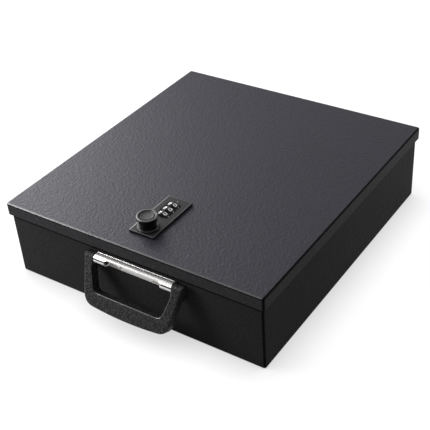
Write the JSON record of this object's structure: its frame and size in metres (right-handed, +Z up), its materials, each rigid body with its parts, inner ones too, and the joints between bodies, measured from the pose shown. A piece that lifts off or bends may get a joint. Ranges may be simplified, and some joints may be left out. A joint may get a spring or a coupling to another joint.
{
  "type": "medication lock box",
  "caption": "Folded steel box with an overlapping hinged lid, a number-dial cam lock with a round knob, and a moulded carry handle hung in a curled metal channel.",
  "frame": {"origin": "centre of the tray's flat underside, level with what the box stands on", "axes": "+Z up, out of the lid; the handle and the lock are at the front, at -Y; the hinge is at the rear, at +Y; +X is to the right of someone facing the handle"},
  "size_m": [0.3, 0.3516, 0.1016],
  "materials": {
    "tray_paint": "satin black powder coat, finely pebbled",
    "lid_paint": "black powder coat with a fine leather-like grain",
    "zinc_plate": "zinc-plated steel, satin",
    "chrome": "polished chrome plate",
    "screw_chrome": "bright plate",
    "lock_black": "satin black on die-cast zinc",
    "collar_black": "semi-gloss black",
    "knob_black": "semi-gloss black",
    "cap_black": "satin dark grey",
    "dial_plastic": "black with white figures",
    "spacer_plastic": "black",
    "grip_plastic": "black moulded plastic, finely textured"
  },
  "bodies": {
    "tray": {"base_tray": "tray_paint", "strike_bracket": "zinc_plate", "tray_hinge_leaf": "zinc_plate", "hinge_pin": "zinc_plate", "handle_channel": "chrome", "handle_screw_left": "screw_chrome", "handle_screw_right": "screw_chrome", "handle_washer_left": "zinc_plate", "handle_washer_right": "zinc_plate", "handle_nut_left": "zinc_plate", "handle_nut_right": "zinc_plate"},
    "lid": {"lid_shell": "lid_paint", "lid_hinge_leaf": "zinc_plate", "lock_casting": "lock_black", "lock_back_cover": "zinc_plate", "cover_screw_1": "zinc_plate", "cover_screw_2": "zinc_plate", "cover_screw_3": "zinc_plate", "cover_screw_4": "zinc_plate", "clamp_frame": "zinc_plate", "clamp_screw_left": "zinc_plate", "clamp_screw_right": "zinc_plate", "knob_collar": "collar_black", "dial_axle": "zinc_plate", "dial_spacer_1": "spacer_plastic", "dial_spacer_2": "spacer_plastic", "dial_spacer_3": "spacer_plastic", "dial_spacer_4": "spacer_plastic", "detent_spring": "zinc_plate"},
    "knob": {"knob": "knob_black", "knob_cap": "cap_black", "spindle": "zinc_plate", "cam": "zinc_plate", "cam_washer": "zinc_plate", "cam_nut": "zinc_plate"},
    "dial_1": {"dial_1": "dial_plastic"},
    "dial_2": {"dial_2": "dial_plastic"},
    "dial_3": {"dial_3": "dial_plastic"},
    "handle": {"handle_grip": "grip_plastic", "pivot_stub_left": "grip_plastic", "pivot_stub_right": "grip_plastic"}
  },
  "joints": [
    {"name": "lid_hinge", "type": "hinge", "parent": "tray", "child": "lid", "pos_m": [0, 0.15925, 0.0698], "axis": [-1, 0, 0], "range_deg": [0, 108]},
    {"name": "knob_turn", "type": "hinge", "parent": "lid", "child": "knob", "pos_m": [0.0035, -0.1287, 0.0904], "axis": [0, 0, 1], "range_deg": [0, 90]},
    {"name": "dial_1_spin", "type": "hinge", "parent": "lid", "child": "dial_1", "pos_m": [0.0035, -0.1055, 0.0808], "axis": [0, 1, 0], "continuous": true},
    {"name": "dial_2_spin", "type": "hinge", "parent": "lid", "child": "dial_2", "pos_m": [0.0035, -0.0973, 0.0808], "axis": [0, 1, 0], "continuous": true},
    {"name": "dial_3_spin", "type": "hinge", "parent": "lid", "child": "dial_3", "pos_m": [0.0035, -0.0891, 0.0808], "axis": [0, 1, 0], "continuous": true},
    {"name": "handle_swing", "type": "hinge", "parent": "tray", "child": "handle", "pos_m": [0.0108, -0.1651, 0.0619], "axis": [-1, 0, 0], "range_deg": [0, 137]}
  ]
}
